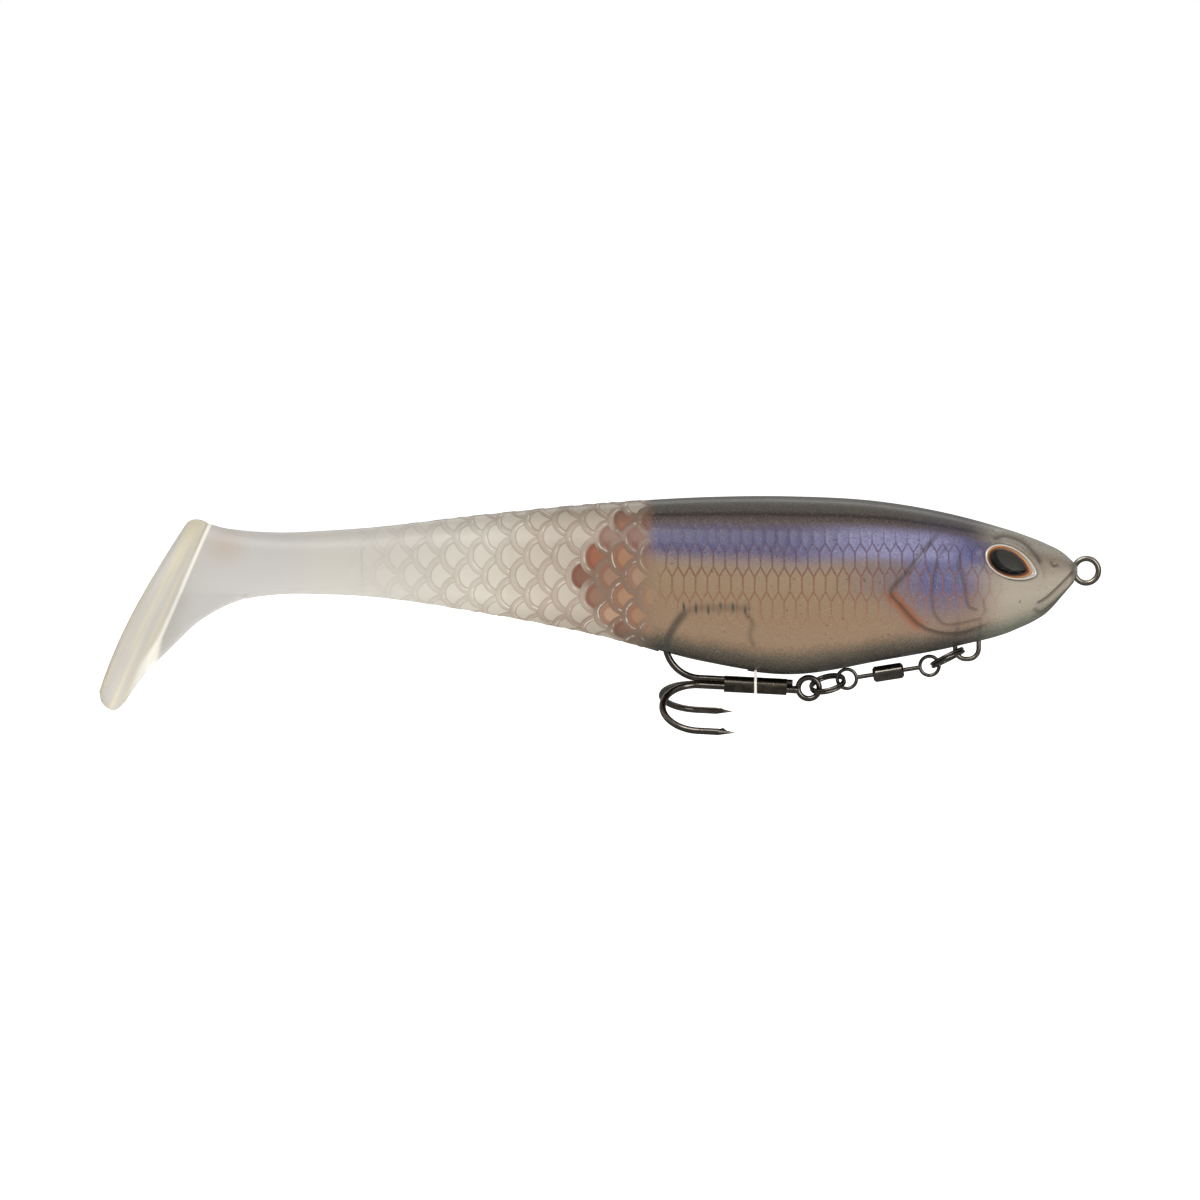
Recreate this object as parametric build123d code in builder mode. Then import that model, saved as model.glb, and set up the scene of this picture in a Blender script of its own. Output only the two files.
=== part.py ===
"""Soft swimbait with a clear skin over a coloured core, a through-wire and a swivel-hung treble.

Millimetres. +X points to the nose and +Z up. The origin is the centre of the line tie ring.
"""
from build123d import *
from math import cos, radians, sin
import os

# ---- Skin outline: x, height of the back, height of the belly, half width ----
SECTIONS = [
    (-2.1, 1.3, -2.2, 1.4),
    (-4.6, 3.6, -5.0, 3.4),
    (-8.5, 5.7, -8.9, 5.3),
    (-15.0, 8.1, -12.4, 7.4),
    (-26.0, 11.3, -15.5, 9.8),
    (-42.0, 14.3, -18.6, 11.7),
    (-62.0, 15.5, -21.6, 12.3),
    (-80.0, 15.3, -19.1, 11.3),
    (-100.0, 14.1, -13.8, 9.1),
    (-126.0, 11.6, -8.7, 6.2),
    (-150.0, 8.9, -5.3, 4.3),
    (-166.0, 7.9, -4.7, 3.6),
    (-183.0, 9.2, -6.5, 3.0),
]
SKIN = 1.3                   # clear skin over the coloured core
CORE_SECTIONS = range(1, 9)  # outline sections that the core also follows

# ---- Tail: three flex lines about vertical axes ----
FLEX_X = [-104.0, -135.0, -166.0]
FLEX_ANGLE = 25.0            # bend each way at one flex line
NOTCH_SPARE = 1.5            # degrees that each notch opens past the bend
NOTCH_ANGLE = FLEX_ANGLE / 2 + NOTCH_SPARE
NOTCH_GAP = 0.15             # each side of a flex line, on top of the notch angle
KNUCKLE_R = 2.2
KNUCKLE_GAP = 0.3
REACH = 60.0                 # cutting shapes run this far past the body

# ---- Paddle and its web ----
PADDLE_TOP = (-184.6, 9.6)
PADDLE_TIP = (-202.6, -28.6)
PADDLE_THICK = 5.0
PADDLE_EDGE = 1.5
PADDLE_HALF = [(4.6, 17.0), (8.6, 6.0), (11.0, -7.0), (8.6, -17.0)]  # half outline, top to tip
WEB_THICK = 2.6
WEB = [(-167.5, -1.0), (-171.5, -5.0), (-179.3, -7.2), (-184.5, -10.4), (-194.2, -20.0), (-188.0, 2.0)]

# ---- Through-wire ----
TIE_R = 2.55                 # line tie ring, to the wire's centre
TIE_WIRE_R = 0.6
HARNESS_R = 0.5
HANGER_FRONT_X = -22.3
HANGER_REAR_X = -27.2
HANGER_Z = -18.4             # wire centre at the bottom of the belly hanger
HANGER_BEND = 2.2
HARNESS_BEND = 4.0
HARNESS_END_Z = -5.7
COLLAR = (-4.8, -1.9, 1.35)  # rear end, front end, radius

# ---- Keel weight, inside the core ----
WEIGHT_X = (-62.0, -34.0)
WEIGHT_Z = -12.6
WEIGHT_R = 3.6

# ---- Split rings: two turns of wire side by side ----
RING_R = 3.55
RING_WIRE_R = 0.34
TURN_OFFSET = 0.31
FRONT_RING_START = (-25.6, -16.5)   # where the front ring passes through the hanger
FRONT_RING_SLOPE = 27.0
FRONT_RING_TILT = 8.0
REAR_RING_SLOPE = 15.0
REAR_RING_TILT = -20.0

# ---- Barrel swivel ----
SWIVEL_SLOPE = 9.0
SWIVEL_SPAN = 17.4           # eye centre to eye centre
EYE_R = 2.0
EYE_WIRE_R = 0.375
EYE_SLACK = 0.6              # ring wire to eye centre, when pulled tight
BARREL_LENGTH = 6.4
BARREL_R = 1.65
BARREL_CHAMFER = 0.45
BARREL_END_WALL = 0.6
BARREL_BORE_R = 1.2
STEM_R = 0.45
STEM_CLEARANCE = 0.05
HEAD_R = 0.95
HEAD_LENGTH = 0.8
HEAD_CLEARANCE = 0.1

# ---- Treble ----
TREBLE_RISE = 3.0            # the shank rises this much towards the bends
TREBLE_EYE_R = 2.2
TREBLE_EYE_WIRE_R = 0.6
TREBLE_SLACK = 0.5
HOOK_WIRE_R = 0.7
HOOK_OFFSET = 0.92           # each shank's centre from the treble's axis
HOOK_BEND_R = 7.5
SHANK_END = 22.8
LEG_END = 18.6               # where the straight leg becomes the point
POINT_END = 15.3
POINT_R = 0.06
BARB = [(18.8, -0.5), (17.6, -1.15), (16.9, -0.25)]
BARB_HALF = HOOK_WIRE_R / 3  # half the barb's thickness
LEAN = -5.0                  # roll of the treble about its shank
ROLLS = [LEAN, LEAN + 120, LEAN + 240]
BRAZE = (4.6, 17.6, 1.72)    # from, to, radius

# ---- Belly slot ----
SLOT_HALF = 3.4
SLOT_FRONT_X = -70.4
SLOT_TOP_Z = -5.4
SLOT_REAR_R = 33.6           # rear wall, about the treble's pivot

# ---- Keeper nib beside the shank ----
KEEPER = (-68.8, -2.6)       # x, y
KEEPER_R = 0.28
KEEPER_TIP_Z = -25.4

# ---- Eyes ----
EYE_CENTRE = (-15.6, -6.9, 2.0)    # on the -Y side
EYE_NORMAL = (0.25, -0.92, 0.30)
EYE_DROOP = -20.0            # the pointed end leans down towards the nose
EYE_OUTLINE = [(5.6, 0.0), (1.6, 2.75), (-2.6, 2.6), (-4.9, 0.0), (-2.6, -2.6), (1.6, -2.75)]
EYE_CORNER = [(-1, 0.25), (1, 0.25)]  # directions where the round end meets the pointed one
EYE_DEPTH = 1.5
FOIL_THICK = 0.5
PUPIL = (3.6, 2.3, 0.3)      # half length, half height, thickness
PUPIL_SHIFT = -0.4
LENS_HEIGHT = 1.7
LENS_EDGE = 0.7


def slope(degrees):
    """Unit vector in the XZ plane, pointing to the rear and down by an angle."""
    return Vector(-cos(radians(degrees)), 0, -sin(radians(degrees)))


def at(x, z):
    return Vector(x, 0, z)


# ---- Places along the hook chain ----
front_ring_start = at(*FRONT_RING_START)
front_ring_centre = front_ring_start + slope(FRONT_RING_SLOPE) * RING_R
front_ring_end = front_ring_start + slope(FRONT_RING_SLOPE) * (2 * RING_R)
swivel_front = front_ring_end + slope(SWIVEL_SLOPE) * EYE_SLACK
swivel_middle = swivel_front + slope(SWIVEL_SLOPE) * (SWIVEL_SPAN / 2)
swivel_rear = swivel_front + slope(SWIVEL_SLOPE) * SWIVEL_SPAN
rear_ring_start = swivel_rear + slope(SWIVEL_SLOPE) * EYE_SLACK
rear_ring_centre = rear_ring_start + slope(REAR_RING_SLOPE) * RING_R
rear_ring_end = rear_ring_start + slope(REAR_RING_SLOPE) * (2 * RING_R)
treble_eye = rear_ring_end + slope(0) * TREBLE_SLACK
treble_axis = slope(-TREBLE_RISE)
treble_up = Vector(0, 1, 0).cross(treble_axis)


def body_loft(sections, inset):
    """Closed body through the outline's sections, shrunk by an inset."""
    with BuildPart() as body:
        for x, top, bottom, half in sections:
            middle = (top + bottom) / 2
            with BuildSketch(Plane(origin=(x, 0, middle), x_dir=(0, 1, 0), z_dir=(-1, 0, 0))):
                Ellipse(half - inset, (top - bottom) / 2 - inset)
        loft()
    return body.part


def flex_slab(front, rear):
    """Plan shape of one length of tail: a socket at its front, a knuckle at its rear, full height."""
    flare = REACH * sin(radians(NOTCH_ANGLE)) / cos(radians(NOTCH_ANGLE))
    front_x = front - NOTCH_GAP if front is not None else 0
    rear_x = rear + NOTCH_GAP if rear is not None else FLEX_X[-1] - REACH
    front_flare = flare if front is not None else 0
    rear_flare = flare if rear is not None else 0
    with BuildPart() as slab:
        for side in (1, -1):
            with BuildSketch(Plane.XY.offset(-REACH)):
                Polygon(
                    (front_x, 0),
                    (front_x - front_flare, side * REACH),
                    (rear_x + rear_flare, side * REACH),
                    (rear_x, 0),
                    align=None,
                )
            extrude(amount=2 * REACH)
        if rear is not None:
            with BuildSketch(Plane.XY.offset(-REACH)):
                with Locations((rear, 0)):
                    Circle(KNUCKLE_R)
            extrude(amount=2 * REACH)
        if front is not None:
            with BuildSketch(Plane.XY.offset(-REACH)):
                with Locations((front, 0)):
                    Circle(KNUCKLE_R + KNUCKLE_GAP)
            extrude(amount=2 * REACH, mode=Mode.SUBTRACT)
    return slab.part


def round_wire_ring(centre, radial, normal, ring_radius, offsets, wire_radius):
    """Ring of round wire: one or more turns side by side along its normal."""
    with BuildPart() as ring:
        with BuildSketch(Plane(origin=centre, x_dir=radial, z_dir=radial.cross(normal))):
            for offset_along in offsets:
                with Locations((ring_radius, offset_along)):
                    Circle(wire_radius)
        revolve(axis=Axis(tuple(centre), tuple(normal)))
    return ring


def split_ring(centre, degrees, tilt):
    """Two-turn split ring lying along a slope, rolled about its own length."""
    along = slope(degrees)
    flat_normal = Vector(0, 1, 0).cross(along)
    normal = flat_normal.rotate(Axis((0, 0, 0), tuple(along)), tilt)
    return round_wire_ring(centre, along, normal, RING_R, (TURN_OFFSET, -TURN_OFFSET), RING_WIRE_R)


def swivel_eye(centre, towards_barrel):
    """Loop, stem and head of one swivel eye."""
    stem_start = centre + towards_barrel * EYE_R
    head_end = SWIVEL_SPAN / 2 - BARREL_LENGTH / 2 + BARREL_END_WALL + HEAD_CLEARANCE
    loop = round_wire_ring(centre, towards_barrel, Vector(0, 1, 0), EYE_R, (0,), EYE_WIRE_R)
    with BuildPart() as eye:
        add(loop.part)
        with BuildSketch(Plane(origin=stem_start, z_dir=towards_barrel)):
            Circle(STEM_R)
        extrude(amount=head_end - EYE_R + HEAD_LENGTH / 2)
        with BuildSketch(Plane(origin=centre + towards_barrel * head_end, z_dir=towards_barrel)):
            Circle(HEAD_R)
        extrude(amount=HEAD_LENGTH)
    return eye


def treble_hook(roll, shank_start):
    """One hook of the treble: shank, round bend, leg, point and barb."""
    radial = treble_up.rotate(Axis((0, 0, 0), tuple(treble_axis)), roll)
    hook_plane = Plane(origin=treble_eye, x_dir=treble_axis, z_dir=treble_axis.cross(radial))
    leg_height = HOOK_OFFSET + 2 * HOOK_BEND_R
    with BuildPart() as hook:
        with BuildLine(hook_plane) as path:
            Line((shank_start, HOOK_OFFSET), (SHANK_END, HOOK_OFFSET))
            ThreePointArc(
                (SHANK_END, HOOK_OFFSET),
                (SHANK_END + HOOK_BEND_R, HOOK_OFFSET + HOOK_BEND_R),
                (SHANK_END, leg_height),
            )
            Line((SHANK_END, leg_height), (LEG_END, leg_height))
        with BuildSketch(Plane(origin=path.line @ 0, z_dir=path.line % 0)):
            Circle(HOOK_WIRE_R)
        sweep()
        leg_end = path.line @ 1
        forward = path.line % 1
        with BuildSketch(Plane(origin=leg_end, z_dir=forward)):
            Circle(HOOK_WIRE_R)
        with BuildSketch(Plane(origin=leg_end + forward * (LEG_END - POINT_END), z_dir=forward)):
            Circle(POINT_R)
        loft()
        with BuildSketch(hook_plane):
            Polygon([(s, leg_height + t) for s, t in BARB], align=None)
        extrude(amount=BARB_HALF, both=True)
    return hook


def eye_plane(depth):
    """Plane parallel to the eye's face, at a depth under it, with its x along the eye."""
    normal = Vector(*EYE_NORMAL).normalized()
    along = Vector(1, 0, 0) - normal * normal.X
    along = along.normalized().rotate(Axis((0, 0, 0), tuple(normal)), EYE_DROOP)
    return Plane(origin=Vector(*EYE_CENTRE) - normal * depth, x_dir=along, z_dir=normal)


def eye_blank(depth, height):
    """Teardrop prism standing on a plane under the eye's face."""
    with BuildPart() as blank:
        with BuildSketch(eye_plane(depth)):
            with BuildLine():
                Spline(*EYE_OUTLINE[1:], tangents=EYE_CORNER)
                Polyline(EYE_OUTLINE[-1], EYE_OUTLINE[0], EYE_OUTLINE[1])
            make_face()
        extrude(amount=height)
    return blank


# ---- Through-wire: line tie ring, run inside the core and belly hanger ----
tie_loop = round_wire_ring(Vector(0, 0, 0), Vector(1, 0, 0), Vector(0, 1, 0), TIE_R, (0,), TIE_WIRE_R)
with BuildPart() as harness_wire:
    add(tie_loop.part)
    with BuildLine(Plane.XZ) as harness_path:
        FilletPolyline(
            (-TIE_R, 0),
            (HANGER_FRONT_X, 0),
            (HANGER_FRONT_X, HANGER_Z),
            (HANGER_REAR_X, HANGER_Z),
            (HANGER_REAR_X, HARNESS_END_Z),
            radius=[HARNESS_BEND, HANGER_BEND, HANGER_BEND],
        )
    with BuildSketch(Plane(origin=harness_path.line @ 0, z_dir=harness_path.line % 0)):
        Circle(HARNESS_R)
    sweep()

collar_rear, collar_front, collar_radius = COLLAR
with BuildPart() as nose_collar:
    with BuildSketch(Plane.YZ.offset(collar_rear)):
        Circle(collar_radius)
    extrude(amount=collar_front - collar_rear)
    add(harness_wire.part, mode=Mode.SUBTRACT)
# the rearmost solid is the collar; the rest is what the cut left inside the ring's eye
nose_collar_solid = nose_collar.part.solids().sort_by(Axis.X)[0]

# ---- Eyes: foil, pupil and lens on each side ----
lens_bottom = EYE_DEPTH - FOIL_THICK
foil_blank = eye_blank(EYE_DEPTH, FOIL_THICK)
pupil_half_length, pupil_half_height, pupil_thick = PUPIL
with BuildPart() as pupil_blank:
    with BuildSketch(eye_plane(lens_bottom)):
        with Locations((PUPIL_SHIFT, 0)):
            Ellipse(pupil_half_length, pupil_half_height)
    extrude(amount=pupil_thick)
lens_prism = eye_blank(lens_bottom, LENS_HEIGHT)
with BuildPart() as lens_blank:
    add(lens_prism.part)
    fillet(lens_blank.faces().sort_by(Axis(EYE_CENTRE, EYE_NORMAL))[-1].edges(), LENS_EDGE)
    add(pupil_blank.part, mode=Mode.SUBTRACT)
socket = eye_blank(EYE_DEPTH, EYE_DEPTH + LENS_HEIGHT)
right_socket_part = socket.part
left_socket_part = mirror(right_socket_part, about=Plane.XZ)
eye_parts = {}
for piece_name, blank in (("eye_foil", foil_blank), ("eye_pupil", pupil_blank), ("eye_lens", lens_blank)):
    eye_parts["right_" + piece_name] = blank.part
    eye_parts["left_" + piece_name] = mirror(blank.part, about=Plane.XZ)

# ---- Keel weight ----
weight_rear, weight_front = WEIGHT_X
with BuildPart() as keel_weight:
    with BuildSketch(Plane.XZ):
        with BuildLine():
            Line((weight_rear, WEIGHT_Z), (weight_front, WEIGHT_Z))
            Line((weight_front, WEIGHT_Z), (weight_front - WEIGHT_R, WEIGHT_Z + WEIGHT_R))
            Line((weight_front - WEIGHT_R, WEIGHT_Z + WEIGHT_R), (weight_rear + WEIGHT_R, WEIGHT_Z + WEIGHT_R))
            Line((weight_rear + WEIGHT_R, WEIGHT_Z + WEIGHT_R), (weight_rear, WEIGHT_Z))
        make_face()
    revolve(axis=Axis((0, 0, WEIGHT_Z), (1, 0, 0)))

# ---- Belly slot, cut from the skin and the core ----
with BuildPart() as slot:
    with BuildSketch(Plane.XZ) as slot_profile:
        with Locations((rear_ring_end.X, rear_ring_end.Z)):
            Circle(SLOT_REAR_R)
        with Locations((SLOT_FRONT_X, SLOT_TOP_Z)):
            Rectangle(REACH, REACH, align=(Align.MAX, Align.MAX), mode=Mode.INTERSECT)
    extrude(amount=SLOT_HALF, both=True)

# ---- Keeper nib ----
keeper_x, keeper_y = KEEPER
with BuildPart() as hook_keeper:
    with BuildSketch(Plane.XY.offset(KEEPER_TIP_Z)):
        with Locations((keeper_x, keeper_y)):
            Circle(KEEPER_R)
    extrude(amount=-KEEPER_TIP_Z + WEIGHT_Z - WEIGHT_R)

# ---- Coloured core and clear skin ----
outer_body = body_loft(SECTIONS, 0)
core_sections = [SECTIONS[index] for index in CORE_SECTIONS]
core_blank = body_loft(core_sections, SKIN)

with BuildPart() as body_core:
    add(core_blank)
    for cutter in (slot, keel_weight, harness_wire, hook_keeper):
        add(cutter.part, mode=Mode.SUBTRACT)
    add(nose_collar_solid, mode=Mode.SUBTRACT)
    add(right_socket_part, mode=Mode.SUBTRACT)
    add(left_socket_part, mode=Mode.SUBTRACT)

with BuildPart() as body_skin:
    add(outer_body)
    add(flex_slab(None, FLEX_X[0]), mode=Mode.INTERSECT)
    add(core_blank, mode=Mode.SUBTRACT)
    for cutter in (slot, harness_wire, hook_keeper):
        add(cutter.part, mode=Mode.SUBTRACT)
    add(nose_collar_solid, mode=Mode.SUBTRACT)
    add(right_socket_part, mode=Mode.SUBTRACT)
    add(left_socket_part, mode=Mode.SUBTRACT)

# ---- Tail ----
with BuildPart() as tail_front:
    add(outer_body)
    add(flex_slab(FLEX_X[0], FLEX_X[1]), mode=Mode.INTERSECT)

with BuildPart() as tail_rear:
    add(outer_body)
    add(flex_slab(FLEX_X[1], FLEX_X[2]), mode=Mode.INTERSECT)

paddle_top = at(*PADDLE_TOP)
paddle_tip = at(*PADDLE_TIP)
paddle_up = (paddle_top - paddle_tip).normalized()
paddle_half_length = (paddle_top - paddle_tip).length / 2
paddle_plane = Plane(
    origin=(paddle_top + paddle_tip) * 0.5,
    x_dir=(0, 1, 0),
    z_dir=Vector(0, 1, 0).cross(paddle_up),
)
paddle_outline = [(0, paddle_half_length)]
paddle_outline += PADDLE_HALF
paddle_outline += [(0, -paddle_half_length)]
paddle_outline += [(-across, along) for across, along in reversed(PADDLE_HALF)]
with BuildPart() as paddle_plate:
    with BuildSketch(paddle_plane):
        with BuildLine():
            Spline(*paddle_outline, periodic=True)
        make_face()
    extrude(amount=PADDLE_THICK / 2, both=True)
    fillet(paddle_plate.edges(), PADDLE_EDGE)

with BuildPart() as tail_paddle:
    add(outer_body)
    with BuildSketch(Plane.XZ):
        Polygon(WEB, align=None)
    extrude(amount=WEB_THICK / 2, both=True)
    add(paddle_plate.part)
    add(flex_slab(FLEX_X[2], None), mode=Mode.INTERSECT)

# ---- Hook chain ----
front_split_ring = split_ring(front_ring_centre, FRONT_RING_SLOPE, FRONT_RING_TILT)
rear_split_ring = split_ring(rear_ring_centre, REAR_RING_SLOPE, REAR_RING_TILT)
swivel_front_eye = swivel_eye(swivel_front, slope(SWIVEL_SLOPE))
swivel_rear_eye = swivel_eye(swivel_rear, slope(SWIVEL_SLOPE) * -1)

barrel_start = swivel_middle - slope(SWIVEL_SLOPE) * (BARREL_LENGTH / 2)
bore_start = barrel_start + slope(SWIVEL_SLOPE) * BARREL_END_WALL
with BuildPart() as swivel_barrel:
    with BuildSketch(Plane(origin=barrel_start, z_dir=slope(SWIVEL_SLOPE))):
        Circle(BARREL_R)
    extrude(amount=BARREL_LENGTH)
    chamfer(swivel_barrel.edges(), BARREL_CHAMFER)
    with BuildSketch(Plane(origin=bore_start, z_dir=slope(SWIVEL_SLOPE))):
        Circle(BARREL_BORE_R)
    extrude(amount=BARREL_LENGTH - 2 * BARREL_END_WALL, mode=Mode.SUBTRACT)
    with BuildSketch(Plane(origin=barrel_start, z_dir=slope(SWIVEL_SLOPE))):
        Circle(STEM_R + STEM_CLEARANCE)
    extrude(amount=BARREL_LENGTH, mode=Mode.SUBTRACT)

treble_single_hook = treble_hook(ROLLS[0], TREBLE_EYE_R + 2 * TREBLE_EYE_WIRE_R)
second_hook = treble_hook(ROLLS[1], TREBLE_EYE_R)
third_hook = treble_hook(ROLLS[2], TREBLE_EYE_R)
treble_loop = round_wire_ring(
    treble_eye, treble_axis, Vector(0, 1, 0), TREBLE_EYE_R, (0,), TREBLE_EYE_WIRE_R
)
with BuildPart() as treble_double_hook:
    add(treble_loop.part)
    add(second_hook.part)
    add(third_hook.part)

braze_start, braze_end, braze_radius = BRAZE
with BuildPart() as treble_braze:
    with BuildSketch(Plane(origin=treble_eye + treble_axis * braze_start, z_dir=treble_axis)):
        Circle(braze_radius)
    extrude(amount=braze_end - braze_start)
    add(treble_single_hook.part, mode=Mode.SUBTRACT)
    add(treble_double_hook.part, mode=Mode.SUBTRACT)

# ---- Labels and files ----
pieces = {
    "body_core": body_core.part,
    "body_skin": body_skin.part,
    "tail_front": tail_front.part,
    "tail_rear": tail_rear.part,
    "tail_paddle": tail_paddle.part,
    "harness_wire": harness_wire.part,
    "nose_collar": nose_collar_solid,
    "keel_weight": keel_weight.part,
    "hook_keeper": hook_keeper.part,
    "front_split_ring": front_split_ring.part,
    "swivel_front_eye": swivel_front_eye.part,
    "swivel_barrel": swivel_barrel.part,
    "swivel_rear_eye": swivel_rear_eye.part,
    "rear_split_ring": rear_split_ring.part,
    "treble_double_hook": treble_double_hook.part,
    "treble_single_hook": treble_single_hook.part,
    "treble_braze": treble_braze.part,
}
pieces.update(eye_parts)
os.makedirs("parts", exist_ok=True)
for name, piece in pieces.items():
    piece.label = name
    export_step(piece, f"parts/{name}.step")
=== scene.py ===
"""Looks of a soft swimbait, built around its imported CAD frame. Metres, +X to the nose, +Z up."""
import math
import bmesh
import bpy
import numpy as np
from mathutils import Matrix, Vector


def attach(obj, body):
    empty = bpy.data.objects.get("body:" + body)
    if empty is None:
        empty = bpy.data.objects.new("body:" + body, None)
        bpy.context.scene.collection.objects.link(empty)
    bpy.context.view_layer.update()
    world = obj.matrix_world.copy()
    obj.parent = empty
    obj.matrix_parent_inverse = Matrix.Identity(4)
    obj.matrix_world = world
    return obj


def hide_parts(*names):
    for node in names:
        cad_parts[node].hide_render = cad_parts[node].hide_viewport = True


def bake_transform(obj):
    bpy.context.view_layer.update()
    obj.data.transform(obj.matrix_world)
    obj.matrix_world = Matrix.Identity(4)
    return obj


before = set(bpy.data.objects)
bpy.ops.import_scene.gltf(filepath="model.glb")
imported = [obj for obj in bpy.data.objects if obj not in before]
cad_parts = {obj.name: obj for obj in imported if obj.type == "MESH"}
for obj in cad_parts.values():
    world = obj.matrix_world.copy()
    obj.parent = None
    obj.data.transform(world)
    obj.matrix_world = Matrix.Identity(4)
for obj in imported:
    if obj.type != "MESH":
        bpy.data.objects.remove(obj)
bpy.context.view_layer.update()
MM = 0.001

# ---------------------------------------------------------------- camera, floor and light
FRAME_WIDTH = 0.2496            # what the square frame takes in, at the bait
CAMERA_AIM = Vector((-0.1011, 0.0, -0.0061))
CAMERA_DISTANCE = 1.2
CAMERA_ELEVATION = math.radians(3.0)
CAMERA_FAR = 20.0
SENSOR = 36.0
FLOOR_Z = -0.075
FLOOR_SIZE = 12.0
FLOOR_ALBEDO, FLOOR_ROUGHNESS, FLOOR_GLOW = 0.95, 0.9, 0.74
SKY_LOW, SKY_HIGH = (0.20, 0.20, 0.20, 1), (0.56, 0.56, 0.57, 1)
SKY_HIGH_AT = 0.75              # share of the way up at which the sky is at its brightest
WHITE = (1, 1, 1, 1)
LIGHTS = (                      # name, place, width and height, watts
    ("key", (-0.30, -0.80, 0.80), (0.60, 0.45), 4.6),
    ("fill", (0.45, -0.95, 0.20), (0.45, 0.5), 2.0),
    ("back", (-0.1, 0.7, 0.9), (0.9, 0.3), 1.7),
)
MIX_FIRST, MIX_SECOND, MIX_COLOUR = 6, 7, 2     # the colour sockets of a Mix node


def new_object(name, data):
    """An object in the scene for a mesh, a light or a camera."""
    holder = bpy.data.objects.new(name, data)
    bpy.context.scene.collection.objects.link(holder)
    return holder


def add_camera():
    """Camera at the photograph's angle."""
    camera = bpy.data.cameras.new("camera")
    camera.sensor_width = SENSOR
    camera.lens = SENSOR * CAMERA_DISTANCE / FRAME_WIDTH
    camera.clip_end = CAMERA_FAR
    holder = new_object("camera", camera)
    back = Vector((0, -math.cos(CAMERA_ELEVATION), math.sin(CAMERA_ELEVATION)))
    holder.location = CAMERA_AIM + back * CAMERA_DISTANCE
    holder.rotation_euler = back.to_track_quat("Z", "Y").to_euler()
    bpy.context.scene.camera = holder


def add_area_light(name, place, size, watts):
    """Rectangular light that faces the bait."""
    light = bpy.data.lights.new(name, "AREA")
    light.shape = "RECTANGLE"
    light.size, light.size_y = size
    light.energy = watts
    holder = new_object(name, light)
    holder.location = place
    holder.rotation_euler = (Vector(place) - CAMERA_AIM).to_track_quat("Z", "Y").to_euler()


def add_world():
    """Soft sky that is brightest overhead; the camera itself sees white."""
    world = bpy.data.worlds.new("studio")
    world.use_nodes = True
    tree = world.node_tree
    tree.nodes.clear()
    coords = tree.nodes.new("ShaderNodeTexCoord")
    split = tree.nodes.new("ShaderNodeSeparateXYZ")
    ramp = tree.nodes.new("ShaderNodeValToRGB")
    for element, position, colour in zip(ramp.color_ramp.elements, (0.0, SKY_HIGH_AT), (SKY_LOW, SKY_HIGH)):
        element.position = position
        element.color = colour
    path = tree.nodes.new("ShaderNodeLightPath")
    pick = tree.nodes.new("ShaderNodeMix")
    pick.data_type = "RGBA"
    pick.inputs[MIX_SECOND].default_value = WHITE
    background = tree.nodes.new("ShaderNodeBackground")
    output = tree.nodes.new("ShaderNodeOutputWorld")
    link = tree.links.new
    link(coords.outputs["Generated"], split.inputs[0])
    link(split.outputs["Z"], ramp.inputs[0])
    link(path.outputs["Is Camera Ray"], pick.inputs[0])
    link(ramp.outputs[0], pick.inputs[MIX_FIRST])
    link(pick.outputs[MIX_COLOUR], background.inputs[0])
    link(background.outputs[0], output.inputs[0])
    bpy.context.scene.world = world


def add_floor():
    """Plain pale floor that glows a little, so that the bait's shadow stays faint."""
    half = FLOOR_SIZE / 2
    mesh = bpy.data.meshes.new("floor")
    corners = [(x, y, FLOOR_Z) for x, y in ((-half, -half), (half, -half), (half, half), (-half, half))]
    mesh.from_pydata(corners, [], [(0, 1, 2, 3)])
    floor = new_object("floor", mesh)
    pale = bpy.data.materials.new("floor")
    pale.use_nodes = True
    shader = pale.node_tree.nodes["Principled BSDF"]
    for key, value in (
        ("Base Color", (FLOOR_ALBEDO, FLOOR_ALBEDO, FLOOR_ALBEDO, 1)), ("Roughness", FLOOR_ROUGHNESS),
        ("Specular IOR Level", 0.0), ("Emission Color", WHITE), ("Emission Strength", FLOOR_GLOW),
    ):
        shader.inputs[key].default_value = value
    mesh.materials.append(pale)
    floor.visible_glossy = False


bpy.context.scene.view_settings.view_transform = "Standard"
add_camera()
add_world()
add_floor()
for light in LIGHTS:
    add_area_light(*light)


# ---------------------------------------------------------------- node maths
class Value:
    """A shader number that Python arithmetic can be done on."""

    def __init__(self, tree, socket):
        self.tree = tree
        self.socket = socket

    def op(self, operation, *others):
        node = self.tree.nodes.new("ShaderNodeMath")
        node.operation = operation
        for slot, value in zip(node.inputs, (self, *others)):
            if isinstance(value, Value):
                self.tree.links.new(value.socket, slot)
            else:
                slot.default_value = value
        return Value(self.tree, node.outputs[0])

    def __add__(self, other): return self.op("ADD", other)
    def __sub__(self, other): return self.op("SUBTRACT", other)
    def __mul__(self, other): return self.op("MULTIPLY", other)
    def __truediv__(self, other): return self.op("DIVIDE", other)
    def __rsub__(self, other): return (self * -1.0) + other
    __radd__ = __add__
    __rmul__ = __mul__


class NodeMaths:
    """The few array functions that the scale pattern needs, on shader numbers."""
    floor = staticmethod(lambda a: a.op("FLOOR"))
    abs = staticmethod(lambda a: a.op("ABSOLUTE"))
    sqrt = staticmethod(lambda a: a.op("SQRT"))
    minimum = staticmethod(lambda a, b: a.op("MINIMUM", b))
    less = staticmethod(lambda a, b: a.op("LESS_THAN", b))


class ArrayMaths:
    """The same functions on arrays."""
    floor, abs, sqrt, minimum = np.floor, np.abs, np.sqrt, np.minimum
    less = staticmethod(lambda a, b: (a < b) * 1.0)


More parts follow.
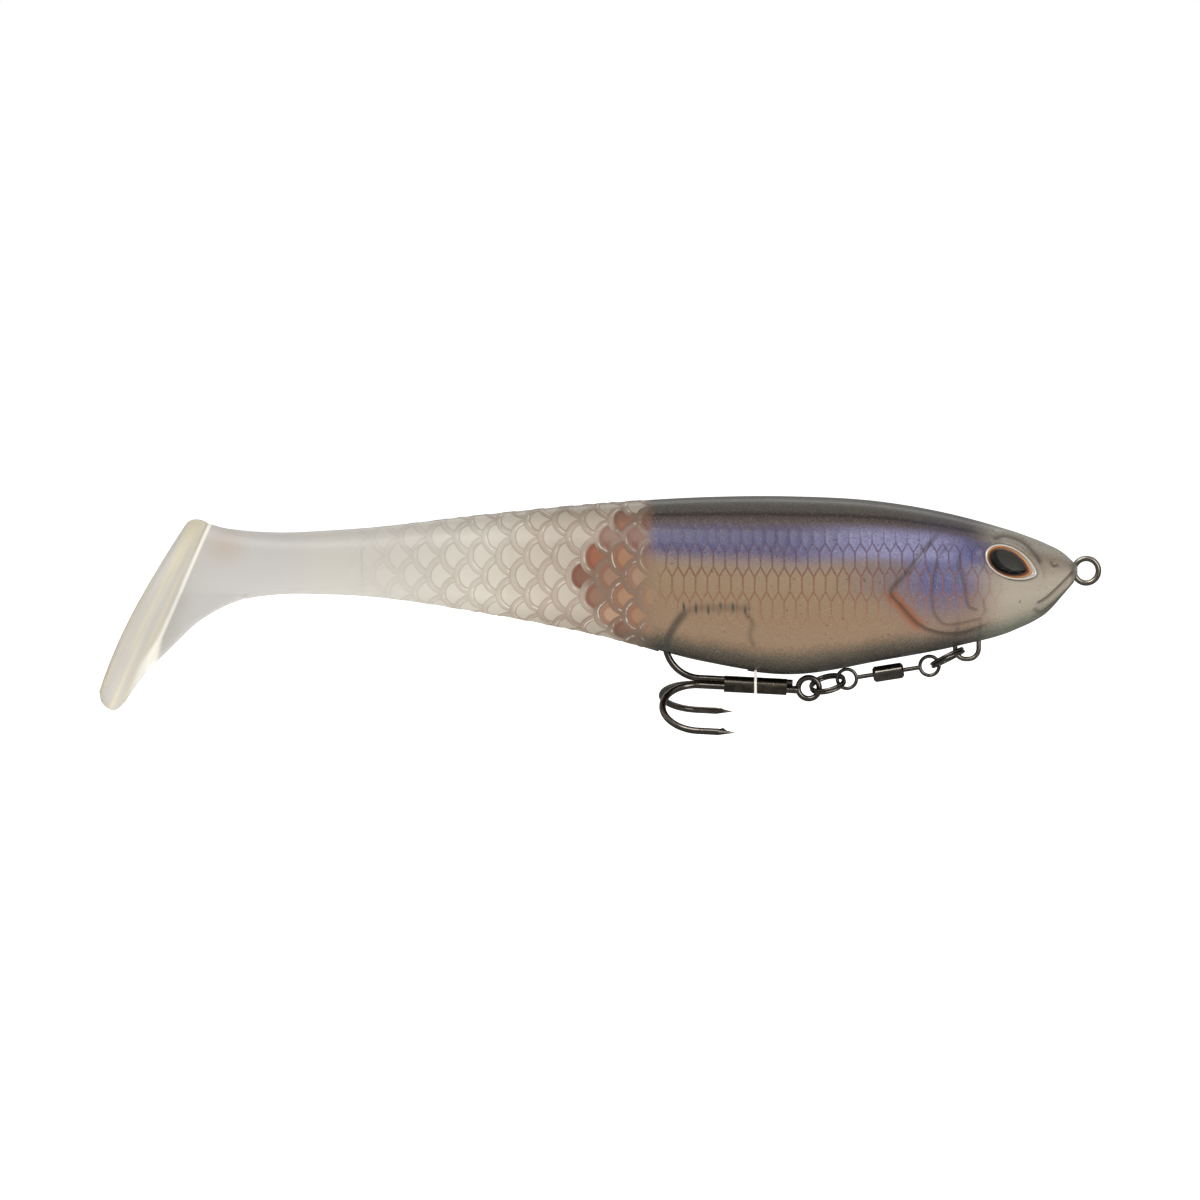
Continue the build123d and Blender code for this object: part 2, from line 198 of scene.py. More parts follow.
def cell_edge(m, u, v, pitch, row, stretch):
    """Distance inside the nearest edge of staggered six-sided cells."""
    even_u = m.floor(u / pitch + 0.5) * pitch
    even_v = m.floor(v / (2 * row) + 0.5) * (2 * row)
    odd_u = (m.floor(u / pitch) + 0.5) * pitch
    odd_v = (m.floor(v / (2 * row)) + 0.5) * (2 * row)
    even_du, even_dv = u - even_u, (v - even_v) * stretch
    odd_du, odd_dv = u - odd_u, (v - odd_v) * stretch
    is_even = m.less(even_du * even_du + even_dv * even_dv, odd_du * odd_du + odd_dv * odd_dv)
    is_odd = 1.0 - is_even
    du = m.abs(even_du * is_even + odd_du * is_odd)
    dv = m.abs(even_dv * is_even + odd_dv * is_odd)
    step_u, step_v = pitch / 2, row * stretch
    length = math.hypot(step_u, step_v)
    true_size = length / math.hypot(step_u, step_v * stretch)
    slanted = ((du * (step_u / length) + dv * (step_v / length)) * -1.0 + length / 2) * true_size
    return m.minimum(pitch / 2 - du, slanted)


def linear(red, green, blue):
    """Linear colour from display values of 0 to 255."""
    def one(value):
        value /= 255
        return value / 12.92 if value <= 0.04045 else ((value + 0.055) / 1.055) ** 2.4
    return (one(red), one(green), one(blue), 1.0)


PADDLE_SLANT = math.radians(-26.0)      # the paddle's length from upright


class Shade:
    """A material under construction: short calls for the nodes used here."""

    def __init__(self, name):
        self.material = bpy.data.materials.new(name)
        self.material.use_nodes = True
        self.tree = self.material.node_tree
        self.shader = self.tree.nodes["Principled BSDF"]

    def set(self, **values):
        """Puts constants on the shader's own sockets."""
        for key, value in values.items():
            self.shader.inputs[key.replace("_", " ")].default_value = value

    def join(self, value, key):
        """Links a value or a colour to one of the shader's sockets."""
        socket = value.socket if isinstance(value, Value) else value
        self.tree.links.new(socket, self.shader.inputs[key])

    def attribute_node(self, name):
        node = self.tree.nodes.new("ShaderNodeAttribute")
        node.attribute_name = name
        return node

    def attribute(self, name):
        """A number kept on the mesh's vertices."""
        return Value(self.tree, self.attribute_node(name).outputs["Fac"])

    def uv(self, name):
        """Both numbers of a UV layer."""
        node = self.tree.nodes.new("ShaderNodeUVMap")
        node.uv_map = name
        split = self.tree.nodes.new("ShaderNodeSeparateXYZ")
        self.tree.links.new(node.outputs[0], split.inputs[0])
        return Value(self.tree, split.outputs[0]), Value(self.tree, split.outputs[1])

    def noise(self, coords, scale, detail=2.0, roughness=0.5):
        node = self.tree.nodes.new("ShaderNodeTexNoise")
        node.inputs["Scale"].default_value = scale
        node.inputs["Detail"].default_value = detail
        node.inputs["Roughness"].default_value = roughness
        self.tree.links.new(coords, node.inputs["Vector"])
        return Value(self.tree, node.outputs[0])

    def near(self, value, middle, half):
        """1 where value is at the middle, down to 0 at half either side of it."""
        return self.step((value - middle).op("ABSOLUTE"), half, 0.0)

    def rest_coords(self):
        """Where a point lies at rest, so that the pattern bends with the skin."""
        return self.attribute_node("rest").outputs["Vector"]

    def stretched(self, coords, scale):
        """Coordinates across and along the slanted paddle, each with its own scale."""
        for name, value in (("Rotation", (0.0, PADDLE_SLANT, 0.0)), ("Scale", scale)):
            node = self.tree.nodes.new("ShaderNodeMapping")
            node.inputs[name].default_value = value
            self.tree.links.new(coords, node.inputs["Vector"])
            coords = node.outputs[0]
        return coords

    def object_coords(self):
        return self.tree.nodes.new("ShaderNodeTexCoord").outputs["Object"]

    def step(self, value, low, high):
        """Smooth 0 to 1 as value runs from low to high."""
        node = self.tree.nodes.new("ShaderNodeMapRange")
        node.interpolation_type = "SMOOTHSTEP"
        self.tree.links.new(value.socket, node.inputs["Value"])
        node.inputs["From Min"].default_value = min(low, high)
        node.inputs["From Max"].default_value = max(low, high)
        node.inputs["To Min"].default_value = 0.0 if low < high else 1.0
        node.inputs["To Max"].default_value = 1.0 if low < high else 0.0
        return Value(self.tree, node.outputs[0])

    def ramp(self, value, stops):
        """Colour of a value between stops, each a position and a colour."""
        node = self.tree.nodes.new("ShaderNodeValToRGB")
        elements = node.color_ramp.elements
        while len(elements) < len(stops):
            elements.new(0.5)
        for element, (position, colour) in zip(elements, stops):
            element.position = position
            element.color = colour
        self.tree.links.new(value.socket, node.inputs[0])
        return node.outputs[0]

    def mix(self, factor, first, second):
        """The first colour, turning into the second as factor goes from 0 to 1."""
        node = self.tree.nodes.new("ShaderNodeMix")
        node.data_type = "RGBA"
        self.tree.links.new(factor.socket, node.inputs[0])
        for colour, slot in ((first, MIX_FIRST), (second, MIX_SECOND)):
            if isinstance(colour, tuple):
                node.inputs[slot].default_value = colour
            else:
                self.tree.links.new(colour, node.inputs[slot])
        return node.outputs[MIX_COLOUR]

    def bump(self, height, depth, strength):
        node = self.tree.nodes.new("ShaderNodeBump")
        node.inputs["Strength"].default_value = strength
        node.inputs["Distance"].default_value = depth
        self.tree.links.new(height.socket, node.inputs["Height"])
        self.tree.links.new(node.outputs[0], self.shader.inputs["Normal"])


# ---------------------------------------------------------------- the moulding's shape
# x, height of the back, height of the belly, half width
OUTLINE = np.array([
    (-2.5, 1.65, -2.65, 1.75),
    (-4.6, 3.6, -5.0, 3.4),
    (-8.5, 5.7, -8.9, 5.3),
    (-15.0, 8.1, -12.4, 7.4),
    (-26.0, 11.3, -15.5, 9.8),
    (-42.0, 14.3, -18.6, 11.7),
    (-62.0, 15.5, -21.6, 12.3),
    (-80.0, 15.3, -19.1, 11.3),
    (-100.0, 14.1, -13.8, 9.1),
    (-126.0, 11.6, -8.7, 6.2),
    (-150.0, 8.9, -5.3, 4.3),
    (-166.0, 7.9, -4.7, 3.6),
]) * MM
NOSE_ROUND = 0.15 * MM          # how far the nose's tip stands out
NOSE_STEPS = 8
SIDE_POINTS = 112               # points down one side of a section
SCALY_STEP = 0.42 * MM          # from one section to the next where there are scales
FLANK_Z = -0.8 * MM             # a zigzag line of the front scales runs at this height
STEM_BOTTOM = -4.9 * MM
FIN_HALF = 1.25 * MM            # half the thickness of the web under the stem
FIN_SQUARENESS = 24
FIN_START, FIN_FULL = 4.8 * MM, 7.0 * MM        # depth below the axis at which the web begins and is full
WEB_BLEND = 0.6 * MM            # how softly the web runs into the stem
PADDLE_HALF = 11.2 * MM
PADDLE_TOP, PADDLE_SPREAD = 0.55, 0.75          # share of that width at the top, and what the bottom adds
PADDLE_BULGE = 1.7 * MM
REAR_FACE_DEPTH = 0.25 * MM
POLE = 1e-6                     # share of a section's height that counts as its top or bottom point
TINY = 1e-12
# Tail end, front to back: top x, top z, bottom x, bottom z, stem half width, share of paddle outline
TAIL_END = np.array([
    (-166.0, 7.9, -166.0, -4.7, 3.6, 0.0),
    (-173.0, 8.2, -175.5, -6.0, 3.3, 0.0),
    (-178.5, 8.8, -184.0, -10.2, 3.1, 0.0),
    (-181.3, 9.5, -190.5, -16.2, 3.0, 0.0),
    (-182.6, 9.9, -195.3, -21.0, 3.0, 0.0),
    (-182.7, 10.0, -196.6, -22.6, 3.0, 0.30),
    (-182.9, 10.1, -198.4, -25.0, 3.0, 0.72),
    (-183.4, 10.4, -200.2, -27.6, 3.0, 0.93),
    (-184.6, 10.7, -202.0, -29.0, 3.0, 1.0),
    (-185.9, 10.6, -203.6, -28.6, 3.0, 0.99),
    (-187.0, 9.9, -204.9, -27.2, 3.0, 0.92),
    (-187.6, 8.6, -205.2, -25.4, 3.0, 0.78),
]) * np.array([MM, MM, MM, MM, MM, 1.0])
TAIL_END_STEPS = (18, 18, 14, 10, 4, 6, 5, 5, 4, 4, 4)
REAR_FACE_STEPS = 14


def smooth(xs, ys, at):
    """Cubic through given points, with slopes taken from their neighbours."""
    order = np.argsort(xs)
    xs, ys = xs[order], ys[order]
    slopes = np.gradient(ys, xs)
    index = np.clip(np.searchsorted(xs, at) - 1, 0, len(xs) - 2)
    width = xs[index + 1] - xs[index]
    t = np.clip((at - xs[index]) / width, 0, 1)
    return (
        (2 * t**3 - 3 * t**2 + 1) * ys[index]
        + (t**3 - 2 * t**2 + t) * width * slopes[index]
        + (3 * t**2 - 2 * t**3) * ys[index + 1]
        + (t**3 - t**2) * width * slopes[index + 1]
    )


def soft_step(value, low, high):
    """Smooth 0 to 1 as value runs from low to high."""
    t = np.clip((value - low) / (high - low), 0, 1)
    return t * t * (3 - 2 * t)


def soft_max(a, b, width):
    """The larger of two, rounded over where they are about equal."""
    return (a + b + np.sqrt((a - b) ** 2 + width**2)) / 2


def blend_rows(rows, middle, reach=16, half=5, passes=3):
    """Evens out the stations about the one where the stem meets the tail end."""
    block = np.array([np.stack(row, -1) for row in rows[middle - reach - half:middle + reach + half + 1]])
    for _ in range(passes):
        shifted = [block[half + k:len(block) - half + k] for k in range(-half, half + 1)]
        block[half:-half] = sum(shifted) / len(shifted)
    new = [tuple(np.moveaxis(row, -1, 0)) for row in block[half:-half]]
    return rows[:middle - reach] + new + rows[middle + reach + 1:]


def moulding_grid():
    """Points of one side (+Y half) of the whole moulding: stations along it, angles down it."""
    angles = np.linspace(0, math.pi, SIDE_POINTS)
    fall = (1 - np.cos(angles)) / 2
    rows = []
    for lift in np.linspace(math.pi / 2, 0, NOSE_STEPS + 1)[:-1]:
        top, bottom, half = OUTLINE[0, 1:]
        middle = (top + bottom) / 2
        size = math.cos(lift)
        x = OUTLINE[0, 0] + NOSE_ROUND * math.sin(lift)
        z = middle + (top - middle) * size * np.cos(angles)
        rows.append((np.full_like(z, x), half * size * np.sin(angles), z))
    stations = int((OUTLINE[0, 0] - OUTLINE[-1, 0]) / SCALY_STEP)
    for x in np.linspace(OUTLINE[0, 0], OUTLINE[-1, 0], stations)[:-1]:
        top, bottom, half = (smooth(OUTLINE[:, 0], OUTLINE[:, column], x) for column in (1, 2, 3))
        z = (top + bottom) / 2 + (top - bottom) / 2 * np.cos(angles)
        rows.append((np.full_like(z, x), half * np.sin(angles), z))
    tail_start = len(rows)
    key = np.arange(len(TAIL_END), dtype=float)
    marks = np.concatenate(
        [np.linspace(i, i + 1, n, endpoint=False) for i, n in enumerate(TAIL_END_STEPS)] + [[key[-1]]]
    )
    for mark in marks:
        top_x, top_z, low_x, low_z, half, share = (smooth(key, TAIL_END[:, c], mark) for c in range(6))
        share = min(max(share, 0.0), 1.0)
        x = top_x + (low_x - top_x) * fall
        z = top_z + (low_z - top_z) * fall
        bottom = max(low_z, STEM_BOTTOM)
        middle = (top_z + bottom) / 2
        stem = half * np.sqrt(np.clip(1 - ((z - middle) / (top_z - middle)) ** 2, 0, 1))
        fin = FIN_HALF * np.sqrt(np.clip(1 - (2 * fall - 1) ** FIN_SQUARENESS, 0, 1))
        fin = fin * soft_step(-low_z, FIN_START, FIN_FULL)
        web = soft_max(stem, fin, WEB_BLEND) - WEB_BLEND / 2
        web = np.where(fin > 0, np.maximum(web, 0), stem)
        web = np.where((fall < POLE) | (fall > 1 - POLE), 0, web)
        paddle = PADDLE_HALF * np.sin(angles) * (PADDLE_TOP + PADDLE_SPREAD * fall)
        bulge = PADDLE_BULGE * share * np.sin(math.pi * fall)
        rows.append((x - bulge, web * (1 - share) + paddle * share, z))
    rows = blend_rows(rows, tail_start)
    x, y, z = rows[-1]
    for closing in np.linspace(0, 1, REAR_FACE_STEPS + 1)[1:]:
        rows.append((x - REAR_FACE_DEPTH * closing, y * (1 - closing), z))
    return np.array([np.stack(row, -1) for row in rows])


def full_rings(side):
    """Closed rings from one side: down the +Y side and back up the -Y side."""
    other = side[:, -2:0:-1] * np.array([1, -1, 1])
    return np.concatenate([side, other], 1)


def grid_normals(points):
    """Outward direction at each point of the rings."""
    along = np.gradient(points, axis=0)
    around = (np.roll(points, -1, 1) - np.roll(points, 1, 1)) / 2
    normal = np.cross(around, along)
    length = np.linalg.norm(normal, axis=-1, keepdims=True)
    return normal / np.maximum(length, TINY)


def arc_height(points):
    """Length around each section, up from where it crosses the level of the flank line."""
    steps = np.linalg.norm(np.diff(points[:, :SIDE_POINTS], axis=1), axis=-1)
    run = np.concatenate([np.zeros((len(points), 1)), np.cumsum(steps, 1)], 1)
    crossing = np.array([
        np.interp(-FLANK_Z, -row[:SIDE_POINTS, 2], length) for row, length in zip(points, run)
    ])
    side = crossing[:, None] - run
    return np.concatenate([side, side[:, -2:0:-1]], 1)


LINE_STEPS = 12                 # straight pieces for each listed point of a moulded line


def distance_to_line(x, z, line):
    """Distance from a smooth line through given points, and how far along it."""
    line = np.array(line) * MM
    key = np.arange(len(line), dtype=float)
    dense = np.linspace(0, len(line) - 1, LINE_STEPS * len(line))
    px, pz = (smooth(key, line[:, c], dense) for c in (0, 1))
    best = np.full(x.shape, 1.0)
    share = np.zeros(x.shape)
    for i in range(len(dense) - 1):
        dx, dz = px[i + 1] - px[i], pz[i + 1] - pz[i]
        t = np.clip(((x - px[i]) * dx + (z - pz[i]) * dz) / (dx * dx + dz * dz), 0, 1)
        d = np.hypot(x - px[i] - t * dx, z - pz[i] - t * dz)
        closer = d < best
        best = np.where(closer, d, best)
        share = np.where(closer, (i + t) / (len(dense) - 1), share)
    return best, share


# ---------------------------------------------------------------- moulded lines, as x and z in mm
GILL_EDGE = [(-30.2, 9.3), (-34.3, 4.7), (-38.6, -0.6), (-41.2, -3.9), (-38.8, -7.0),
             (-35.4, -10.6), (-31.4, -12.4), (-26.2, -12.6), (-18.7, -9.9)]
GILL_SECOND = [(-28.3, 6.8), (-31.8, 2.0), (-32.6, -6.1), (-30.8, -10.1), (-27.7, -10.7), (-20.2, -9.0)]
GILL_THIRD = [(-26.2, 4.9), (-27.2, 1.8), (-26.0, -2.0), (-25.0, -6.8), (-22.5, -7.8)]
GILL_FOURTH = [(-22.1, -5.3), (-21.5, -7.6), (-21.9, -9.0)]
MOUTH = [(-2.4, 0.4), (-4.4, -1.6), (-6.5, -3.6), (-8.7, -5.5), (-10.9, -6.7)]
LIP = [(-1.7, -1.6), (-5.0, -5.0), (-7.4, -7.0), (-9.6, -8.4), (-11.6, -7.4)]
BROW = [(-20.0, 6.5), (-17.3, 7.4), (-13.6, 6.3), (-10.6, 3.4), (-9.8, 1.4)]
NOSTRIL = [(-7.6, 2.3), (-7.3, 1.4), (-6.6, 1.2), (-6.0, 1.6)]
GROOVES = (                     # line, its width and its depth in mm
    (GILL_EDGE, 0.42, 0.34), (GILL_SECOND, 0.30, 0.22), (GILL_THIRD, 0.34, 0.22), (GILL_FOURTH, 0.3, 0.15),
    (MOUTH, 0.34, 0.40), (LIP, 0.5, 0.22), (BROW, 0.5, 0.30), (NOSTRIL, 0.28, 0.30),
)
# painted shade of what lies behind the flank: the belly slot, the marks along it, and the hanger's two legs
SLOT_SHADE_LINE = [(-87.4, -17.0), (-86.8, -13.2), (-84.6, -9.4), (-82.4, -7.6), (-78.0, -7.1), (-70.6, -7.2)]
SLOT_TICKS = [-83.9, -81.3, -78.7, -76.4, -73.8, -71.1]
SLOT_FRONT = [(-70.8, -8.6), (-69.6, -10.4), (-70.2, -12.6), (-69.4, -15.0)]
WIRE_LEGS = [-27.2, -22.4]

# ---------------------------------------------------------------- eyes
EYE_CENTRE = Vector((-16.3, -7.0, 1.95)) * MM
EYE_NORMAL = Vector((0.25, -0.92, 0.30)).normalized()
EYE_DROOP = math.radians(-20.0)
EYE_LENGTH, EYE_HEIGHT, EYE_SHIFT = 5.75 * MM, 3.75 * MM, 0.3 * MM
PUPIL_SCALE, PUPIL_SHIFT = 0.69, -0.5 * MM
REFLECTION_ALONG, REFLECTION_UP = 0.9 * MM, 1.5 * MM      # middle of the pupil's painted grey reflection
REFLECTION_REACH, REFLECTION_EDGE = 0.93, 0.04
EYE_BACK = 0.35 * MM            # from an eye piece's rim to its back wall
EYE_DEPTH = -4.0 * MM           # points deeper than this under the eye's plane aren't in its socket
FAR = 9.0                       # an eye ratio well outside the eye


def eye_axes(side):
    """Along, up and outward directions of one eye; side is -1 for -Y and 1 for +Y."""
    normal = EYE_NORMAL.copy()
    along = (Vector((1, 0, 0)) - normal * normal.x).normalized()
    along.rotate(Matrix.Rotation(EYE_DROOP, 3, normal))
    up = normal.cross(along)
    flip = Vector((1, -side, 1))
    return along * flip, up * flip, normal * flip, EYE_CENTRE * flip


def teardrop(angle):
    """Outline of the eye, pointed at angle 0."""
    across = EYE_HEIGHT * np.sin(angle) * np.abs(np.sin(angle / 2)) ** 0.4
    return EYE_LENGTH * np.cos(angle) + EYE_SHIFT, across


def eye_ratio(points, side):
    """How far out of the eye each point is: 1 on its outline."""
    along, up, normal, centre = eye_axes(side)
    offset = points - np.array(centre)
    u, v, w = offset @ np.array(along), offset @ np.array(up), offset @ np.array(normal)
    samples = np.linspace(0, 2 * math.pi, 181)
    ou, ov = teardrop(samples)
    direction = np.arctan2(ov, ou)
    order = np.argsort(direction)
    reach = np.interp(np.arctan2(v, u), direction[order], np.hypot(ou, ov)[order], period=2 * math.pi)
    ratio = np.hypot(u, v) / reach
    return np.where(w > EYE_DEPTH, ratio, FAR)


# ---------------------------------------------------------------- rear scales
REAR_PITCH, REAR_ROW = 2.9 * MM, 4.15 * MM      # from one column to the next, and half of one row
REAR_RADIUS, REAR_STRETCH = 3.9 * MM, 0.9
REAR_WALL = 1.3 * MM            # width of a scale's raised wall
WALL_EDGE = 0.15 * MM           # over which that wall runs into the scale's middle
CORE_END = -90.6 * MM


def rear_scales(m, u, v):
    """Overlapping round scales: depth inside the rear edge, and the centre of the topmost scale."""
    base = m.floor(u / REAR_PITCH)
    depth, centre_u, centre_v, free = u * 0.0, u * 0.0, u * 0.0, u * 0.0 + 1.0
    for ahead in (2, 1, 0, -1):
        # a column nearer the nose lies over the ones behind it
        column = base + ahead
        odd = column - m.floor(column / 2.0) * 2.0
        cu = column * REAR_PITCH
        cv = (m.floor(v / (2 * REAR_ROW) - odd * 0.5 + 0.5) + odd * 0.5) * (2 * REAR_ROW)
        du, dv = u - cu, (v - cv) * REAR_STRETCH
        radius = m.sqrt(du * du + dv * dv)
        inside = m.less(radius, REAR_RADIUS) * free
        depth = depth + inside * (REAR_RADIUS - radius)
        centre_u = centre_u + inside * cu
        centre_v = centre_v + inside * cv
        free = free - inside
    return depth, centre_u, centre_v


def core_reach(z):
    """Where the coloured core's loose scales end, at a height: furthest back near the middle."""
    return (z + 1.5 * MM) * (z + 1.5 * MM) * 50.0 - 105.0 * MM


# ---------------------------------------------------------------- the moulding's relief and masks
FRONT_PITCH, FRONT_ROW, FRONT_STRETCH = 2.43 * MM, 5.1 * MM, 0.371
FRONT_SHIFT = FRONT_ROW / 2 - 1.1 * MM          # sets the height of the rows
GROOVE_SHADE_RATE = 3.2               # how fast a deeper groove gets darker painted shade


def relief(points, v):
    """Height of the moulded detail, and the masks that colour it."""
    x, z = points[..., 0], points[..., 2]
    side = np.where(points[..., 1] > 0, 1, -1)
    masks = {}
    height = np.zeros(x.shape)
    top, bottom = (smooth(OUTLINE[:, 0], OUTLINE[:, column], x) for column in (1, 2))
    level = np.clip((z - bottom) / np.maximum(top - bottom, MM), 0, 1)
    masks["level"] = level
    # front scales
    edge = cell_edge(ArrayMaths, x, v + FRONT_SHIFT, FRONT_PITCH, FRONT_ROW, FRONT_STRETCH)
    front = soft_step(-x, 20 * MM, 30 * MM) * (1 - soft_step(-x, 84 * MM, 92 * MM))
    front *= soft_step(level, 0.22, 0.36) * (1 - soft_step(level, 0.84, 0.94))
    height += front * 0.07 * MM * (soft_step(edge, 0, 0.5 * MM) - 1)
    # rear scales
    depth = rear_scales(ArrayMaths, x, v)[0]
    rear = soft_step(-x, 90 * MM, 93 * MM) * (1 - soft_step(-x, 118 * MM, 160 * MM))
    wall = soft_step(depth, 0, 0.35 * MM) * (1 - soft_step(depth, REAR_WALL - 0.35 * MM, REAR_WALL + WALL_EDGE))
    height += rear * MM * (0.13 * wall - 0.04 + 0.05 * soft_step(depth, REAR_WALL, 4 * MM))
    masks["rear"] = rear
    # gill covers, mouth, brow and nostril
    groove_shade = np.zeros(x.shape)
    for line, width, cut in GROOVES:
        distance, share = distance_to_line(x, z, line)
        fade = soft_step(share, 0.0, 0.08) * (1 - soft_step(share, 0.9, 1.0))
        mark = np.exp(-((distance / (width * MM)) ** 2)) * fade
        lip = np.exp(-(((distance - 1.5 * width * MM) / (width * MM)) ** 2)) * fade
        height += MM * cut * (0.45 * lip - mark)
        # painted shade in each groove, darker where it is cut deeper
        groove_shade = np.maximum(groove_shade, mark * min(1.0, cut * GROOVE_SHADE_RATE))
        if line is GILL_EDGE:
            lower = soft_step(share, 0.34, 0.42) * (1 - soft_step(share, 0.60, 0.70))
            rust = np.exp(-(((distance - 0.5 * MM) / (0.8 * MM)) ** 2)) * lower
    masks["groove_shade"], masks["rust"] = groove_shade, rust
    # eye rim and socket
    for which in (-1, 1):
        ratio = np.where(side == which, eye_ratio(points, which), FAR)
        height += MM * 0.55 * np.exp(-(((ratio - 1.18) / 0.12) ** 2))
        height -= MM * 2.1 * (1 - soft_step(ratio, 0.90, 1.02))
    # blue-violet patch on the gill cover
    masks["violet"] = np.exp(-(((x + 31.0 * MM) / (10.5 * MM)) ** 2 + ((z + 0.5 * MM) / (8.0 * MM)) ** 2) ** 1.3)
    # painted shade of the belly slot, its marks and the hanger's legs, seen through the flank
    distance, share = distance_to_line(x, z, SLOT_SHADE_LINE)
    rear_part = 1 - soft_step(share, 0.45, 0.6)
    seen_through_shade = np.exp(-((distance / (0.85 * MM)) ** 4)) * (0.34 + 0.5 * rear_part)
    for tick in SLOT_TICKS:
        lean = tick * MM + (z + 7.4 * MM) * 0.12
        mark = np.exp(-(((x - lean) / (0.20 * MM)) ** 2 + ((z + 7.3 * MM) / (1.25 * MM)) ** 4))
        seen_through_shade = np.maximum(seen_through_shade, 1.2 * mark)
    distance, share = distance_to_line(x, z, SLOT_FRONT)
    seen_through_shade = np.maximum(seen_through_shade, 0.45 * np.exp(-((distance / (0.5 * MM)) ** 2)))
    for leg in WIRE_LEGS:
        mark = np.exp(-(((x - leg * MM) / (0.42 * MM)) ** 2)) * soft_step(-z, 8.5 * MM, 11.5 * MM)
        seen_through_shade = np.maximum(seen_through_shade, 0.5 * mark)
    masks["seen_through_shade"] = seen_through_shade
    masks["height"] = z
    # cream paddle, the pale line where the web meets it, and a brown smudge on the stem
    front_x = -182.4 * MM + (z - 9.0 * MM) * 0.44
    masks["cream"] = soft_step(front_x - x, -0.4 * MM, 0.6 * MM)
    weld_half = (0.40 + 1.1 * soft_step(-z, 13 * MM, 20 * MM)) * MM
    masks["weld"] = np.exp(-(((x - front_x) / weld_half) ** 4)) * (x < -170 * MM)
    masks["smudge"] = np.exp(-(((x + 179 * MM) / (4.0 * MM)) ** 2 + ((z - 5.4 * MM) / (3.2 * MM)) ** 2))
    return height, masks


TUCK = 0.01 * MM                # how far a piece's extra station lies under its neighbour
WELD_SKIN, WELD_FINE = 0.004 * MM, 0.0001 * MM  # vertices this close are joined


def add_layer(mesh, key, values):
    """Numbers on a mesh's vertices, for its material to read."""
    layer = mesh.attributes.new(key, "FLOAT", "POINT")
    layer.data.foreach_set("value", values)


def cut_piece(name, points, normals, uv, masks, first, last):
    """Closed mesh of the stations from first to last. At a cut it runs one station further,
    a hair under its neighbour, so that no seam shows."""
    start, stop = max(first - 1, 0), min(last + 1, len(points) - 1)
    count, rows = points.shape[1], stop - start + 1
    co = points[start:stop + 1].copy()
    co[0] -= normals[start] * (TUCK * (start < first))
    co[-1] -= normals[stop] * (TUCK * (stop > last))
    faces = []
    for i in range(rows - 1):
        for j in range(count):
            k = (j + 1) % count
            faces.append((i * count + j, i * count + k, (i + 1) * count + k, (i + 1) * count + j))
    side_faces = len(faces)
    if start < first:
        faces.append(tuple(reversed(range(count))))
    if stop > last:
        faces.append(tuple(range((rows - 1) * count, rows * count)))
    mesh = bpy.data.meshes.new(name)
    mesh.from_pydata(co.reshape(-1, 3).tolist(), [], faces)
    for key, values in masks.items():
        add_layer(mesh, key, values[start:stop + 1].ravel().astype(np.float32))
    layer = mesh.attributes.new("rest", "FLOAT_VECTOR", "POINT")
    layer.data.foreach_set("vector", co.ravel().astype(np.float32))
    loops = np.zeros(len(mesh.loops), np.int32)
    mesh.loops.foreach_get("vertex_index", loops)
    flat = uv[start:stop + 1].reshape(-1, 2)[loops]
    layer = mesh.uv_layers.new(name="flank")
    layer.data.foreach_set("uv", flat.ravel().astype(np.float32))
    mesh.polygons.foreach_set("use_smooth", [i < side_faces for i in range(len(faces))])
    return new_object(name, mesh)


def weld(piece, distance):
    """Joins vertices that lie together, as at the poles, and turns every face outwards."""
    work = bmesh.new()
    work.from_mesh(piece.data)
    bmesh.ops.remove_doubles(work, verts=work.verts, dist=distance)
    bmesh.ops.dissolve_degenerate(work, edges=work.edges, dist=distance / 10)
    bmesh.ops.recalc_face_normals(work, faces=work.faces)
    work.to_mesh(piece.data)
    work.free()


# ---------------------------------------------------------------- materials
def scalloped_core(s, u, height, in_cell, centre_u, centre_v):
    """Share of the coloured core at a point, solid and loose: solid to its end, then whole scales of it."""
    by_cell = s.step(centre_u - core_reach(centre_v + FLANK_Z) + 1.0 * MM, -0.4 * MM, 0.4 * MM)
    by_point = s.step(u - core_reach(height), -0.8 * MM, 2.2 * MM) * 0.8
    loose = by_cell * in_cell + by_point * (1.0 - in_cell)
    dither = (s.noise(s.rest_coords(), 1500.0, 3.0, 0.7) - 0.5) * (5.0 * MM)
    sharp = s.step(u + dither, CORE_END - 1.4 * MM, CORE_END + 1.2 * MM)
    soft = s.step(u, CORE_END - 5.5 * MM, CORE_END + 3.0 * MM)
    upper = s.step(height, 3.0 * MM, 6.5 * MM)
    solid = sharp * upper + soft * (1.0 - upper)
    return solid, loose * 0.94


